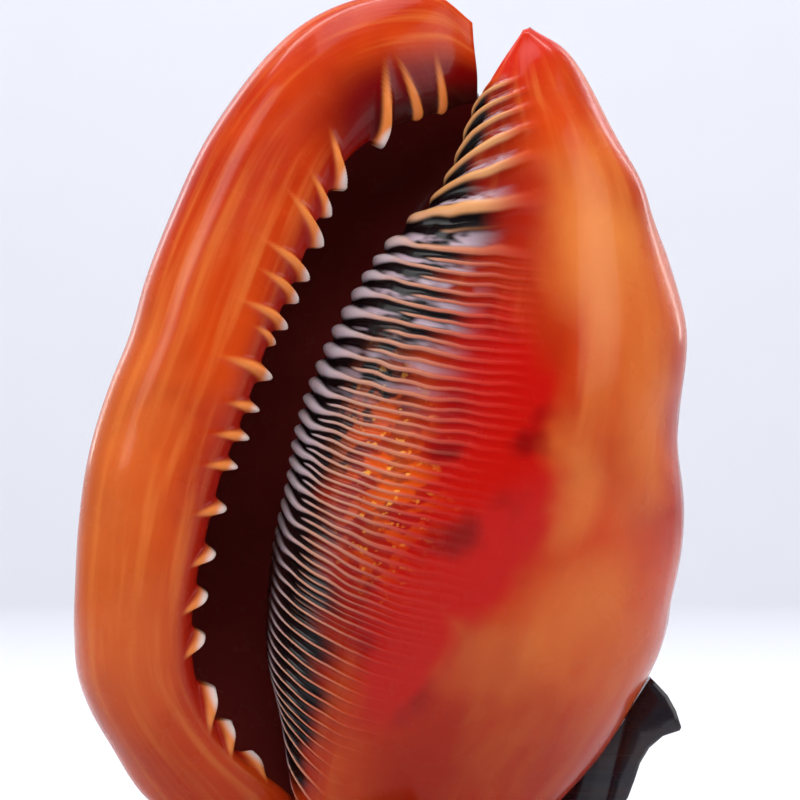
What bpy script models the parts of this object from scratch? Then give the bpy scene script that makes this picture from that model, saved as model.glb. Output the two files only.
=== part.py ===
"""A helmet shell that stands on its spire in a dark wooden stand, with its toothed mouth to the front.

The shell is one piece, lofted through guide curves that run from the tip of the spire, at the bottom,
to the notched front end, at the top. The stand is two boards halved into each other.
Metres, +Z up, the mouth faces -Y. The origin is the middle of the object's footprint, on the surface
that it stands on.
"""

import math

import bmesh
import bpy
import numpy as np

MM = 0.001

# Rows of the loft are numbered by the ridges on the pillar side of the mouth.
TIP_ROW = -14
MOUTH_ROW = 0
LAST_RIDGE = 51
END_ROW = 60

# Guide curves of the shell: row, then x, y and z in millimetres.
SPIRE_TIP = (TIP_ROW, 5, 6, 12)
SEAM = [SPIRE_TIP, (-9, -4, -4, 14.5), (-5, -9, -12, 16.5), (-2, -12, -17.5, 19.5)]
MOUTH_END = (MOUTH_ROW, -14, -14, 25)
PILLAR_EDGE = SEAM + [MOUTH_END, (4, -17, -17, 43.5), (9, -19.5, -18, 54), (14, -19.7, -18, 63.6),
                      (19, -18.5, -19, 73.7), (23, -16, -20, 83.6), (27, -14, -20, 94),
                      (30, -11.5, -20, 102.4), (33, -7.4, -20, 111.6), (36, -2.1, -20, 121.2),
                      (39, 4, -20, 129.2), (42, 10, -19, 134.5), (45, 13.4, -18, 140),
                      (50, 17.4, -16, 150.6), (55, 21.8, -16, 158.8), (END_ROW, 26, -14, 165.4)]
RIDGE_END = [SPIRE_TIP, (-9, 1, -7, 14), (-5, -3, -15, 15.5), (-2, -7, -20, 17.5),
             (0, -9, -23, 22.5), (4, -8, -27.5, 34), (9, -4.8, -32, 43), (14, 0, -35, 52.5),
             (19, 4.5, -37, 63.4), (23, 9, -38, 75.5), (27, 15, -38, 86), (30, 20, -37, 95),
             (33, 23.2, -36, 105.8), (36, 24.8, -34, 116.4), (39, 26.4, -31, 127.4),
             (42, 28, -27.5, 137.6), (45, 27.8, -25, 144.6), (50, 25.8, -21, 153),
             (55, 25.5, -17.6, 160), (END_ROW, 26.5, -15, 164.8)]
RIGHT_SIDE = [SPIRE_TIP, (-9, 18, 4, 17.5), (-5, 25, -1, 21.5), (-2, 29.5, -3, 24.5),
              (0, 32.5, -3, 27.5), (4, 39.3, 0, 35), (9, 46.3, 2, 45.5), (14, 50.8, 4, 54),
              (19, 52.9, 5, 63), (23, 54, 5, 73), (27, 54.3, 4, 84), (30, 53.8, 3, 94.6),
              (33, 54.2, 2, 105.6), (36, 53.9, 1, 113.8), (39, 51.7, 0, 124.3),
              (42, 48.4, -1, 132.6), (45, 44.6, -3, 141), (50, 38, -6, 154), (55, 33.1, -10, 162),
              (END_ROW, 27.3, -12, 166.1)]
BACK = [SPIRE_TIP, (-9, 5, 24, 18.5), (-5, 4, 35, 26), (-2, 3, 41, 33), (0, 2, 44, 38),
        (4, 1, 47, 47), (9, 0, 48, 57), (14, 0, 48, 66.5), (19, 0, 46.5, 76), (23, 0, 44.5, 84),
        (27, 0, 42, 92), (33, 0, 36.5, 105), (39, 1, 29.5, 118), (45, 4, 21.5, 130),
        (50, 9, 14.5, 139.5), (55, 15, 8.5, 146), (END_ROW, 21, 3, 149.5)]
LEFT_BACK = [SPIRE_TIP, (-9, -10, 8, 17), (-5, -22, 9, 23), (-2, -32, 8, 30), (0, -38, 6, 36),
             (4, -44, 6, 44), (9, -47.5, 5, 53), (14, -49, 4, 62), (19, -49, 3, 71.5),
             (23, -48.5, 3, 80), (27, -47.5, 2, 89), (30, -46, 2, 95.5), (33, -43.5, 1, 103),
             (36, -40.5, 0, 111.5), (39, -37, -1, 121), (42, -32, -2, 132), (45, -25.5, -3, 143),
             (50, -11, -5, 158), (55, 4, -5, 160), (END_ROW, 17.6, -5.5, 155.5)]
LIP_OUTER = [SPIRE_TIP, (-9, -12, 0, 16.5), (-5, -25, -6, 20), (-2, -35, -11, 24),
             (0, -40.8, -14, 27.6), (4, -48.4, -18, 39), (9, -52.9, -20, 48.9), (14, -53.8, -22, 58),
             (19, -53.5, -23, 67.3), (23, -52.9, -23, 77.2), (27, -51.7, -23, 86.8),
             (30, -50.1, -22, 93.9), (33, -47.5, -22, 101.9), (36, -44.3, -21, 110.7),
             (39, -41.4, -20, 121), (42, -36.6, -18, 133), (45, -30, -16.5, 146.5),
             (50, -15.1, -15, 165), (55, 1.3, -13, 172), (58, 11.2, -12, 171.5),
             (END_ROW, 17, -10, 167)]
LIP_INNER = SEAM + [MOUTH_END, (4, -24, -22, 36), (9, -31, -28, 48), (14, -32.2, -30, 57.5),
                    (19, -31, -31, 68), (23, -28.7, -31, 79), (27, -26.5, -31, 87.5),
                    (30, -24.1, -31, 94), (33, -21.3, -31, 101.8), (36, -18.3, -31, 110.6),
                    (39, -14.3, -30, 120.5), (42, -10.5, -29, 130.5), (45, -6.5, -27, 139.5),
                    (50, 2.6, -21, 147.2), (55, 12, -15.5, 150.4), (END_ROW, 18.2, -10, 152.8)]
CAVITY_RIGHT = [MOUTH_END, (6, 4, 10, 48), (12, 16, 13, 60), (20, 20, 13, 76), (30, 20, 11, 98),
                (38, 19, 7, 116), (45, 18, 2, 133), (50, 20, -2, 143), (55, 22.5, -5.5, 151),
                (END_ROW, 24.5, -8, 159)]
LIP_ROLL = [(TIP_ROW, 0), (-5, 5), (0, 8.5), (9, 10.5), (27, 11), (42, 10.5), (50, 8), (55, 5),
            (END_ROW, 0.8)]
WALL = [(MOUTH_ROW, 7), (30, 6), (45, 5), (54, 3.2), (END_ROW, 1.2)]
CAVITY_OPENS_BY = 9
# How far the hollow lies lower near the notch, at its left and at its back, where the wall above it faces up.
CEILING_DROP = (5, 1.5)

# Direction of the ring at each station, along X or Y. Where the mouth is closed, the ring crosses the seam
# along X.
HEADINGS = [(0, -1), (1, 0), (0, 1), (-1, 0), (0, -1), (0, -1), (1, 0), (0, 1), (0, 1), (1, 0), (0, -1)]
EDGE, CREST, RIGHT, REAR, LEFT, OUTER, LIP, INNER, HOLLOW = range(9)
ROUND = 1.657  # length of a cubic's end tangents, over the radius, that makes a quarter of a circle

# Knobs in spiral rows round the back: row at the right side, row at the left side, number, height and spread
# in millimetres, and the stations between which they stand.
KNOB_ROWS = [(13, 6, 8, 4.2, 5.2), (26.5, 20.5, 8, 2.9, 5.0), (35.5, 33.5, 7, 2.2, 4.6),
             (43, 45, 5, 1.5, 4.2)]
KNOBS_FROM, KNOBS_TO = 2.08, 3.92
# Knobs that show as soft swells through the glaze of the shield: row, station, height and spread.
COVERED_KNOBS = [(43, 1.72, 1.5, 5.5), (34.5, 1.9, 1.1, 7), (24, 1.9, 1.0, 7)]
# Teeth of the lip: row and height.
TEETH = [(3.8, 2.0), (6, 2.1), (8.4, 2.2), (14, 2.0), (17.7, 2.0), (20.6, 2.1), (23.6, 2.2), (27.2, 2.1),
         (29.6, 2.2), (31.6, 2.2), (33.7, 2.4), (35.6, 1.5), (36.6, 2.2), (38, 2.1), (39.2, 2.2), (41, 2.3),
         (42.6, 2.0), (44.3, 2.3), (47.5, 2.2), (50.3, 1.2), (53, 1.2)]
TOOTH_WIDTH = 1.35
TOOTH_SINK = 0.25  # how far the lip's edge lies below its curve between the teeth
RIDGE_HEIGHT = 0.62
SHIELD_THICKNESS = 0.8
LIP_CREASE = 1.6
SPIRE_GROWTH = 1.75
SPIRE_GROOVE = 0.9
SPIRE_KNOB = 0.35
SPIRE_KNOBS_TO_A_TURN = 18

# Stand: an arm of a board from the shell out to the hooked tip and down to the foot, as distance from the
# crossing and height, in millimetres. The lists meet in corners.
ARM = [[(40, 53), (44.2, 51), (46.6, 48.7), (48.8, 46.7), (50.8, 44.2), (51.9, 41.7), (52.6, 39.4)],
       [(52.3, 38.8), (51.1, 38.6), (49.1, 37.7), (47.1, 36), (45.8, 34.4), (44.9, 32.4), (43.3, 27.5),
        (40.5, 22.5), (38.6, 18), (39.2, 13.8), (42.2, 11), (46.4, 9), (49, 6.4), (49.7, 3), (49.4, 0)],
       [(35, 0), (31.5, 2.4), (25, 3.4), (13, 3.1), (0, 2.8)]]
CROSSING = (2.8, 10)
# Length and height of the arms of the fore-and-aft board, over those of the board across.
BACK_ARM = (0.93, 0.94)
FRONT_ARM = (0.84, 0.52)
BOARD = 11
BOARD_BEVEL = 0.8
# Heights at which the lap from above and the one from below end, and the gap at their sides.
LAP = (7.6, 7.9)
FIT = 0.3
# How far the stand keeps away from the shell, and the mesh of the room that the shell takes in it.
CLEARANCE = 0.8
CRADLE_TOP_ROW = 18
CRADLE_COLUMNS = [4, 10, 18, 18, 5, 6, 6, 5, 1, 1, 1]
WELD = 0.00002

# Rows and columns of the shell's mesh, columns by the spans of the ring, and what is kept of its faces.
ROWS = np.concatenate([np.linspace(TIP_ROW, MOUTH_ROW, 19)[:-1], np.arange(MOUTH_ROW, LAST_RIDGE, 0.5),
                       np.linspace(LAST_RIDGE, END_ROW, 9)])
COLUMNS = [9, 8, 16, 16, 6, 6, 8, 4, 4, 5, 5]
KEPT_FACES = 0.33


def through(points, at):
    """A smooth curve through points, each a row and its values, read at the rows in at."""
    table = np.array(points, float)
    rows, values = table[:, 0], table[:, 1:]
    step = np.diff(rows)[:, None]
    rise = np.diff(values, axis=0) / step
    slope = np.vstack([rise[:1], (rise[:-1] * step[1:] + rise[1:] * step[:-1]) / (step[1:] + step[:-1]),
                       rise[-1:]])
    at = np.asarray(at, float)
    k = np.clip(np.searchsorted(rows, at, side="right") - 1, 0, len(rows) - 2)
    h = step[k]
    t = (at - rows[k])[:, None] / h
    return ((2 * t**3 - 3 * t**2 + 1) * values[k] + (t**3 - 2 * t**2 + t) * h * slope[k]
            + (3 * t**2 - 2 * t**3) * values[k + 1] + (t**3 - t**2) * h * slope[k + 1])


def smoothstep(low, high, x):
    t = np.clip((x - low) / (high - low), 0, 1)
    return t * t * (3 - 2 * t)


def stations(rows):
    """Points of each row where the ring of the section turns along X or Y, in order round the ring."""
    edge, crest = through(PILLAR_EDGE, rows), through(RIDGE_END, rows)
    right, back, left = through(RIGHT_SIDE, rows), through(BACK, rows), through(LEFT_BACK, rows)
    outer = through(LIP_OUTER, rows)
    inner = np.where(rows[:, None] <= MOUTH_ROW, edge, through(LIP_INNER, rows))
    roll, wall = through(LIP_ROLL, rows)[:, 0], through(WALL, np.maximum(rows, 0))[:, 0]
    lip = outer + 0.43 * (inner - outer)
    lip[:, 1] -= roll
    opened = smoothstep(MOUTH_ROW, CAVITY_OPENS_BY, rows)[:, None]
    start = np.array(MOUTH_END[1:], float)
    sunk = smoothstep(46, 52, rows) * (1 - 0.5 * smoothstep(55, END_ROW, rows))
    hollow_left = left + np.stack([wall, -0.4 * wall, -CEILING_DROP[0] * sunk], 1)
    hollow_back = back + np.stack([-0.3 * wall, -wall, 0.3 * wall - CEILING_DROP[1] * sunk], 1)
    hollow_right = through(CAVITY_RIGHT, np.maximum(rows, 0))
    hollow_left = start + opened * (hollow_left - start)
    hollow_back = start + opened * (hollow_back - start)
    return [edge, crest, right, back, left, outer, lip, inner, hollow_left, hollow_back, hollow_right]


def headings(station, rows):
    heading = np.tile(np.array(HEADINGS[station], float), (len(rows), 1))
    if station in (EDGE, INNER):
        turn = math.pi / 2 * smoothstep(MOUTH_ROW - 3, MOUTH_ROW + 1, rows)
        heading = np.stack([np.cos(turn), heading[:, 1] * np.sin(turn)], 1)
    return heading


def ring_points(rows, counts):
    """The rings of the rows, as rows, columns and x, y, z, and the station number of each column."""
    marks = stations(rows)
    n = len(marks)
    chord = [np.linalg.norm(marks[(i + 1) % n] - marks[i], axis=1) + 1e-6 for i in range(n)]
    climb = [(marks[(i + 1) % n] - marks[i])[:, 2] / chord[i] for i in range(n)]
    columns, numbers = [], []
    for i, count in enumerate(counts):
        step = marks[(i + 1) % n] - marks[i]
        ends = []
        for k in (i, (i + 1) % n):
            heading = headings(k, rows)
            reach = np.abs(step[:, :2] * heading).sum(1)
            slope = (climb[k - 1] * chord[k] + climb[k] * chord[k - 1]) / (chord[k - 1] + chord[k])
            ends.append(np.column_stack([heading * (reach * ROUND)[:, None], slope * chord[i]]))
        for c in range(count):
            t = c / count
            numbers.append(i + t)
            columns.append((2 * t**3 - 3 * t**2 + 1) * marks[i] + (t**3 - 2 * t**2 + t) * ends[0]
                           + (3 * t**2 - 2 * t**3) * marks[(i + 1) % n] + (t**3 - t**2) * ends[1])
    return np.stack(columns, 1), np.array(numbers)


def facing(points, closed, inner):
    """Outward unit normals of the rings' surface. In closed rings the first and the inner column coincide."""
    along = np.roll(points, -1, 1) - np.roll(points, 1, 1)
    along[closed, 0] = points[closed, 1] - points[closed, 0]
    along[closed, inner] = points[closed, inner] - points[closed, inner - 1]
    normal = np.cross(along, np.gradient(points, axis=0))
    normal[closed, 0] = normal[closed, inner] = normal[closed, 0] + normal[closed, inner]
    return normal / np.maximum(np.linalg.norm(normal, axis=2, keepdims=True), 1e-9)


def knobs(points):
    """Height of the knobs at the points."""
    placed = list(COVERED_KNOBS)
    for right_row, left_row, count, height, spread in KNOB_ROWS:
        for k in range(count):
            along = (k + 0.5) / count
            placed.append((right_row + along * (left_row - right_row),
                           KNOBS_FROM + along * (KNOBS_TO - KNOBS_FROM), height, spread))
    raised = np.zeros(points.shape[:2])
    for row, station, height, spread in placed:
        ring, numbers = ring_points(np.array([row]), [20] * len(HEADINGS))
        centre = ring[0, np.abs(numbers - station).argmin()]
        away = ((points - centre) ** 2).sum(2)
        raised = np.maximum(raised, height * np.exp(-away / (2 * spread**2)))
    return raised


def ridges(rows, numbers):
    """Ridges across the pillar side of the mouth, one to each row number, that bead on its edge."""
    row, s = rows[:, None], numbers[None, :]
    s = np.where(s > 10, s - 11, s)
    height = smoothstep(-0.35, -0.05, s) * (1 - smoothstep(0.75, 1.2, s))
    height = height * (1 - 0.4 * smoothstep(0.1, 0.5, s))
    height = height * smoothstep(0, 2.5, row) * (1 - smoothstep(LAST_RIDGE, LAST_RIDGE + 1.5, row))
    return RIDGE_HEIGHT * height * np.cos(2 * math.pi * row)


def teeth(points, rows, numbers):
    """Teeth along the lip's inner edge, each with a low root that runs out on the lip's face."""
    edge = points[:, np.abs(numbers - INNER).argmin()]
    run = np.concatenate([[0], np.cumsum(np.linalg.norm(np.diff(edge, axis=0), axis=1))])
    s = numbers[None, :]
    reach = 0.3 * smoothstep(6.3, 6.7, s) + 0.7 * smoothstep(6.7, 6.98, s)
    reach = reach * (1 - smoothstep(7.08, 7.35, s))
    raised = np.zeros(points.shape[:2])
    for row, height in TEETH:
        away = (run - np.interp(row, rows, run))[:, None]
        raised = np.maximum(raised, height * np.exp(-((away / TOOTH_WIDTH) ** 2)) * reach)
    return raised - TOOTH_SINK * reach * smoothstep(2, 5, rows)[:, None]


def spire(points, rows):
    """The seam between the whorls, a spiral round the tip, and the small knobs above it."""
    x, y = points[:, :, 0] - SPIRE_TIP[1], points[:, :, 1] - SPIRE_TIP[2]
    r = np.hypot(x, y) + 1e-3
    turn = np.arctan2(y, x) / (2 * math.pi) - np.log(r / 3) / math.log(SPIRE_GROWTH)
    off = turn - np.round(turn)
    here = smoothstep(1, 4, r) * (1 - smoothstep(-3.2, -1.5, rows))[:, None]
    knob = np.exp(-(((np.abs(off) - 0.5) / 0.16) ** 2)) * np.cos(SPIRE_KNOBS_TO_A_TURN * np.arctan2(y, x))
    groove = SPIRE_GROOVE * np.exp(-((off / 0.09) ** 2))
    return here * (SPIRE_KNOB * knob - groove) * np.minimum(1, r / 12)


def shell_surface(rows, counts):
    """Points of the finished shell, in millimetres, and each column's station number."""
    points, numbers = ring_points(rows, counts)
    row, s = rows[:, None], numbers[None, :]
    raised = knobs(points) + ridges(rows, numbers) + teeth(points, rows, numbers)
    raised = raised + spire(points, rows)
    margin = 2.1 - 0.2 * smoothstep(11, 20, row) * (1 - smoothstep(28, 38, row))
    glazed = (1 - smoothstep(margin, margin + 0.14, s)) * smoothstep(0, 0.6, s)
    raised = raised + SHIELD_THICKNESS * glazed * smoothstep(-3, 0, row) * (1 - smoothstep(50, 58, row))
    crease = np.exp(-(((s - 4.5) / 0.2) ** 2)) * smoothstep(2, 8, row) * (1 - smoothstep(46, 54, row))
    raised = raised - LIP_CREASE * crease
    raised[rows == TIP_ROW] = 0
    inner = int((numbers <= INNER).sum()) - 1
    return points + raised[:, :, None] * facing(points, rows <= MOUTH_ROW, inner), numbers


def zip_faces(first, second):
    """Triangles that close the gap between two runs of vertices that start and end together."""
    faces, i, j = [], 0, 0
    while i < len(first) - 1 or j < len(second) - 1:
        go_first = j == len(second) - 1 or (
            i < len(first) - 1
            and (first[i + 1].co - second[j].co).length <= (second[j + 1].co - first[i].co).length)
        third = first[i + 1] if go_first else second[j + 1]
        corners = (first[i], second[j], third)
        if len(set(corners)) == 3:
            faces.append(corners)
        i, j = (i + 1, j) if go_first else (i, j + 1)
    return faces


def shell_mesh(rows, counts):
    """The closed mesh of the shell, lofted row by row from the spire's tip."""
    points, numbers = shell_surface(rows, counts)
    mesh = bmesh.new()
    outside = int((numbers <= INNER).sum())
    rings = []
    for row, ring in zip(rows, points * MM):
        count = len(ring) if row >= MOUTH_ROW else outside
        rings.append([mesh.verts.new(p) for p in ring[:count]])
    for row, lower, upper in zip(rows, rings, rings[1:]):
        columns = len(numbers) if row >= MOUTH_ROW else outside - 1
        for c in range(columns):
            d = (c + 1) % len(upper)
            mesh.faces.new((lower[c], lower[(c + 1) % len(lower)], upper[d], upper[c]))
    top, crest, outer = rings[-1], sum(counts[:CREST]), sum(counts[:OUTER])
    inside = [top[crest - k] for k in range(crest + 1)] + top[outer:][::-1]
    for corners in zip_faces(top[crest:outer + 1], inside):
        mesh.faces.new(corners)
    return closed(mesh)


def closed(mesh):
    """The mesh with the points that coincide made one and its faces turned outward."""
    bmesh.ops.remove_doubles(mesh, verts=mesh.verts, dist=WELD)
    bmesh.ops.recalc_face_normals(mesh, faces=mesh.faces)
    return mesh


def cradle_mesh():
    """The lower part of the shell made solid and a little larger: the room that it takes in the stand."""
    rows = np.arange(TIP_ROW, CRADLE_TOP_ROW + 0.5)
    points, numbers = shell_surface(rows, CRADLE_COLUMNS)
    outside = int((numbers <= INNER).sum())
    points = points[:, :outside]
    mesh = bmesh.new()
    rings = [[mesh.verts.new(p) for p in ring] for ring in points * MM]
    for lower, upper in zip(rings, rings[1:]):
        for c in range(outside):
            d = (c + 1) % outside
            mesh.faces.new((lower[c], lower[d], upper[d], upper[c]))
    mesh.faces.new(rings[-1])
    closed(mesh)
    mesh.normal_update()
    for vert in mesh.verts:
        vert.co += vert.normal * CLEARANCE * MM
    return mesh


def smooth_run(corner_points, spacing=3.2):
    """Points at an even spacing along a smooth curve through the points."""
    path = np.array(corner_points, float)
    run = np.concatenate([[0], np.cumsum(np.linalg.norm(np.diff(path, axis=0), axis=1))])
    at = np.linspace(0, run[-1], max(2, round(run[-1] / spacing)) + 1)
    return through(np.column_stack([run, path]), at)


def board_outline(first, second):
    """Outline of a board with an arm on either side of the crossing, each scaled in length and height."""
    arm = np.vstack([smooth_run(points) for points in ARM])
    return np.vstack([arm * first, (arm * second * (-1, 1))[-2::-1]])


def board_mesh(outline, place):
    """A board BOARD thick, from its outline. place turns an outline's point and a depth into x, y and z."""
    mesh = bmesh.new()
    sides = [[mesh.verts.new(np.array(place(u, depth, z), float) * MM) for u, z in outline]
             for depth in (-BOARD / 2, BOARD / 2)]
    mesh.faces.new(sides[0])
    mesh.faces.new(sides[1][::-1])
    for k in range(len(outline)):
        j = (k + 1) % len(outline)
        mesh.faces.new((sides[0][k], sides[1][k], sides[1][j], sides[0][j]))
    return closed(mesh)


def box_mesh(low, high):
    mesh = bmesh.new()
    bmesh.ops.create_cube(mesh, size=1)
    low, high = np.array(low, float) * MM, np.array(high, float) * MM
    for vert in mesh.verts:
        vert.co = (low + high) / 2 + np.array(vert.co) * (high - low)
    return mesh


def add_object(name, mesh, collection, material=None):
    data = bpy.data.meshes.new(name)
    mesh.to_mesh(data)
    mesh.free()
    item = bpy.data.objects.new(name, data)
    collection.objects.link(item)
    if material:
        data.materials.append(material)
    return item


def make_material(name, colour, roughness):
    material = bpy.data.materials.new(name)
    material.use_nodes = True
    surface = material.node_tree.nodes["Principled BSDF"]
    surface.inputs["Base Color"].default_value = (*colour, 1)
    surface.inputs["Roughness"].default_value = roughness
    surface.inputs["Metallic"].default_value = 0
    material.diffuse_color = (*colour, 1)
    return material


def cut(item, cutter):
    cutter.hide_render = True
    cutter.display_type = "WIRE"
    boolean = item.modifiers.new(f"less {cutter.name}", "BOOLEAN")
    boolean.operation = "DIFFERENCE"
    boolean.solver = "EXACT"
    boolean.object = cutter


def rounded_edges(item):
    bevel = item.modifiers.new("rounded edges", "BEVEL")
    bevel.width = BOARD_BEVEL * MM
    bevel.segments = 1
    bevel.limit_method = "ANGLE"
    bevel.angle_limit = math.radians(50)


def centre_footprint(items):
    """Moves the meshes so that the middle of the footprint of those that render is at X = Y = 0."""
    deps = bpy.context.evaluated_depsgraph_get()
    seen = []
    for item in items:
        if not item.hide_render:
            seen += [vert.co[:] for vert in item.evaluated_get(deps).data.vertices]
    middle = (np.min(seen, axis=0) + np.max(seen, axis=0)) / 2
    for item in items:
        for vert in item.data.vertices:
            vert.co.x -= middle[0]
            vert.co.y -= middle[1]
    print("footprint's middle was at", middle[:2] / MM, "mm")


def main():
    for item in list(bpy.data.objects):
        bpy.data.objects.remove(item)
    piece = bpy.data.collections.new("helmet_shell_on_stand")
    tools = bpy.data.collections.new("cutters")
    for collection in (piece, tools):
        bpy.context.scene.collection.children.link(collection)

    glaze = make_material("glazed shell", (0.62, 0.16, 0.05), 0.22)
    shell = add_object("shell", shell_mesh(ROWS, COLUMNS), piece, glaze)
    fewer = shell.modifiers.new("fewer faces", "DECIMATE")
    fewer.ratio = KEPT_FACES
    for face in shell.data.polygons:
        face.use_smooth = True

    x, y = CROSSING
    across = board_outline((1, 1), (1, 1))
    fore_aft = board_outline(BACK_ARM, FRONT_ARM)
    cross_board = add_object("cross_board", board_mesh(across, lambda u, depth, z: (x + u, y + depth, z)),
                             piece, make_material("dark wood across", (0.022, 0.015, 0.017), 0.2))
    fore_aft_board = add_object("fore_aft_board",
                                board_mesh(fore_aft, lambda u, depth, z: (x + depth, y + u, z)),
                                piece, make_material("dark wood fore and aft", (0.024, 0.016, 0.018), 0.2))
    room = add_object("room for the shell", cradle_mesh(), tools)
    half = BOARD / 2 + FIT
    below = box_mesh((x - BOARD, y - half, -5), (x + BOARD, y + half, LAP[1]))
    above = box_mesh((x - half, y - BOARD, LAP[0]), (x + half, y + BOARD, 40))
    low_lap, high_lap = add_object("lap from below", below, tools), add_object("lap from above", above, tools)
    for item, lap in ((cross_board, high_lap), (fore_aft_board, low_lap)):
        rounded_edges(item)
        cut(item, room)
        cut(item, lap)
    centre_footprint([shell, cross_board, fore_aft_board, room, low_lap, high_lap])


main()
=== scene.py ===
"""A helmet shell that stands on its spire in a dark wooden stand, seen from the side of its toothed mouth.

The shell is lofted through guide curves at the fineness of its ridges and teeth, and coloured from its own
attributes and patterns. The stand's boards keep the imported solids' shape, with smooth edges and lacquer.
Metres, +Z up, the mouth faces -Y.
"""

import math

import bmesh
import bpy
import numpy as np
from bpy.props import FloatProperty, FloatVectorProperty, PointerProperty
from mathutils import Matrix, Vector, noise


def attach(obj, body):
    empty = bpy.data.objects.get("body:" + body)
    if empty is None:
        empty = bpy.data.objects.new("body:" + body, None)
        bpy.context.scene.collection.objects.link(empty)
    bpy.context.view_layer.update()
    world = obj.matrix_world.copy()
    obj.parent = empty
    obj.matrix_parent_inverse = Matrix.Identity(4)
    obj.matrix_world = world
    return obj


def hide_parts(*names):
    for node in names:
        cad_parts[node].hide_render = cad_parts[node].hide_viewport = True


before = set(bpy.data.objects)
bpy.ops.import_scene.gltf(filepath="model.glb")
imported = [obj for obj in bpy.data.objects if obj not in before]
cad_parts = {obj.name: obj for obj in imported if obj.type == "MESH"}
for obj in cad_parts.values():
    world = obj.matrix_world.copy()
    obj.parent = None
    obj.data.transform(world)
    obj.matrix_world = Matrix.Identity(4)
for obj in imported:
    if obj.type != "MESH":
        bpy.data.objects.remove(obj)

bl_info = {
    "name": "Helmet Shell on a Stand",
    "version": (1, 0, 0),
    "blender": (4, 5, 0),
    "location": "View3D > Sidebar > Helmet Shell",
    "description": "Builds a red helmet shell on its wooden stand in a small photo studio",
    "category": "Object",
}

MM = 0.001
WELD = 0.00002
FLOOR_SIZE = 5.0
WALL_Y = 1.5
WALL_HEIGHT = 2.5
FLOOR_BEND = 0.5
# Camera: its place in the loft's millimetres, the width of its sensor and of a pixel at the mouth's plane, in
# millimetres, and the picture's width in pixels.
CAMERA_PLACE = (3.98, -925, 99.2)
CAMERA_SENSOR = 36
PIXEL = 0.1768
PICTURE_WIDTH = 800
CAMERA_DISTANCE = 900  # to the plane of the mouth, in millimetres
WORLD_COLOUR = (0.92, 0.94, 1.0, 1)
WORLD_STRENGTH = 0.13
# The loft's own origin, seen from the middle of the object's footprint, in millimetres.
ORIGIN = np.array([-0.945, -9.903, 0.0])

# Rows of the loft are numbered by the ridges on the pillar side of the mouth.
TIP_ROW = -14
MOUTH_ROW = 0
LAST_RIDGE = 51
END_ROW = 60

# Guide curves of the shell: row, then x, y and z in millimetres.
SPIRE_TIP = (TIP_ROW, 5, 6, 12)
SEAM = [SPIRE_TIP, (-9, -4, -4, 14.5), (-5, -9, -12, 16.5), (-2, -12, -17.5, 19.5)]
MOUTH_END = (MOUTH_ROW, -14, -14, 25)
PILLAR_EDGE = SEAM + [MOUTH_END, (4, -17, -17, 43.5), (9, -19.5, -18, 54), (14, -19.7, -18, 63.6),
                      (19, -18.5, -19, 73.7), (23, -16, -20, 83.6), (27, -14, -20, 94),
                      (30, -11.5, -20, 102.4), (33, -7.4, -20, 111.6), (36, -2.1, -20, 121.2),
                      (39, 4, -20, 129.2), (42, 10, -19, 134.5), (45, 13.4, -18, 140),
                      (50, 17.4, -16, 150.6), (55, 21.8, -16, 158.8), (END_ROW, 26, -14, 165.4)]
RIDGE_END = [SPIRE_TIP, (-9, 1, -7, 14), (-5, -3, -15, 15.5), (-2, -7, -20, 17.5),
             (0, -9, -23, 22.5), (4, -8, -27.5, 34), (9, -4.8, -32, 43), (14, 0, -35, 52.5),
             (19, 4.5, -37, 63.4), (23, 9, -38, 75.5), (27, 15, -38, 86), (30, 20, -37, 95),
             (33, 23.2, -36, 105.8), (36, 24.8, -34, 116.4), (39, 26.4, -31, 127.4),
             (42, 28, -27.5, 137.6), (45, 27.8, -25, 144.6), (50, 25.8, -21, 153),
             (55, 25.5, -17.6, 160), (END_ROW, 26.5, -15, 164.8)]
RIGHT_SIDE = [SPIRE_TIP, (-9, 18, 4, 17.5), (-5, 25, -1, 21.5), (-2, 29.5, -3, 24.5),
              (0, 32.5, -3, 27.5), (4, 39.3, 0, 35), (9, 46.3, 2, 45.5), (14, 50.8, 4, 54),
              (19, 52.9, 5, 63), (23, 54, 5, 73), (27, 54.3, 4, 84), (30, 53.8, 3, 94.6),
              (33, 54.2, 2, 105.6), (36, 53.9, 1, 113.8), (39, 51.7, 0, 124.3),
              (42, 48.4, -1, 132.6), (45, 44.6, -3, 141), (50, 38, -6, 154), (55, 33.1, -10, 162),
              (END_ROW, 27.3, -12, 166.1)]
BACK = [SPIRE_TIP, (-9, 5, 24, 18.5), (-5, 4, 35, 26), (-2, 3, 41, 33), (0, 2, 44, 38),
        (4, 1, 47, 47), (9, 0, 48, 57), (14, 0, 48, 66.5), (19, 0, 46.5, 76), (23, 0, 44.5, 84),
        (27, 0, 42, 92), (33, 0, 36.5, 105), (39, 1, 29.5, 118), (45, 4, 21.5, 130),
        (50, 9, 14.5, 139.5), (55, 15, 8.5, 146), (END_ROW, 21, 3, 149.5)]
LEFT_BACK = [SPIRE_TIP, (-9, -10, 8, 17), (-5, -22, 9, 23), (-2, -32, 8, 30), (0, -38, 6, 36),
             (4, -44, 6, 44), (9, -47.5, 5, 53), (14, -49, 4, 62), (19, -49, 3, 71.5),
             (23, -48.5, 3, 80), (27, -47.5, 2, 89), (30, -46, 2, 95.5), (33, -43.5, 1, 103),
             (36, -40.5, 0, 111.5), (39, -37, -1, 121), (42, -32, -2, 132), (45, -25.5, -3, 143),
             (50, -11, -5, 158), (55, 4, -5, 160), (END_ROW, 17.6, -5.5, 155.5)]
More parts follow.
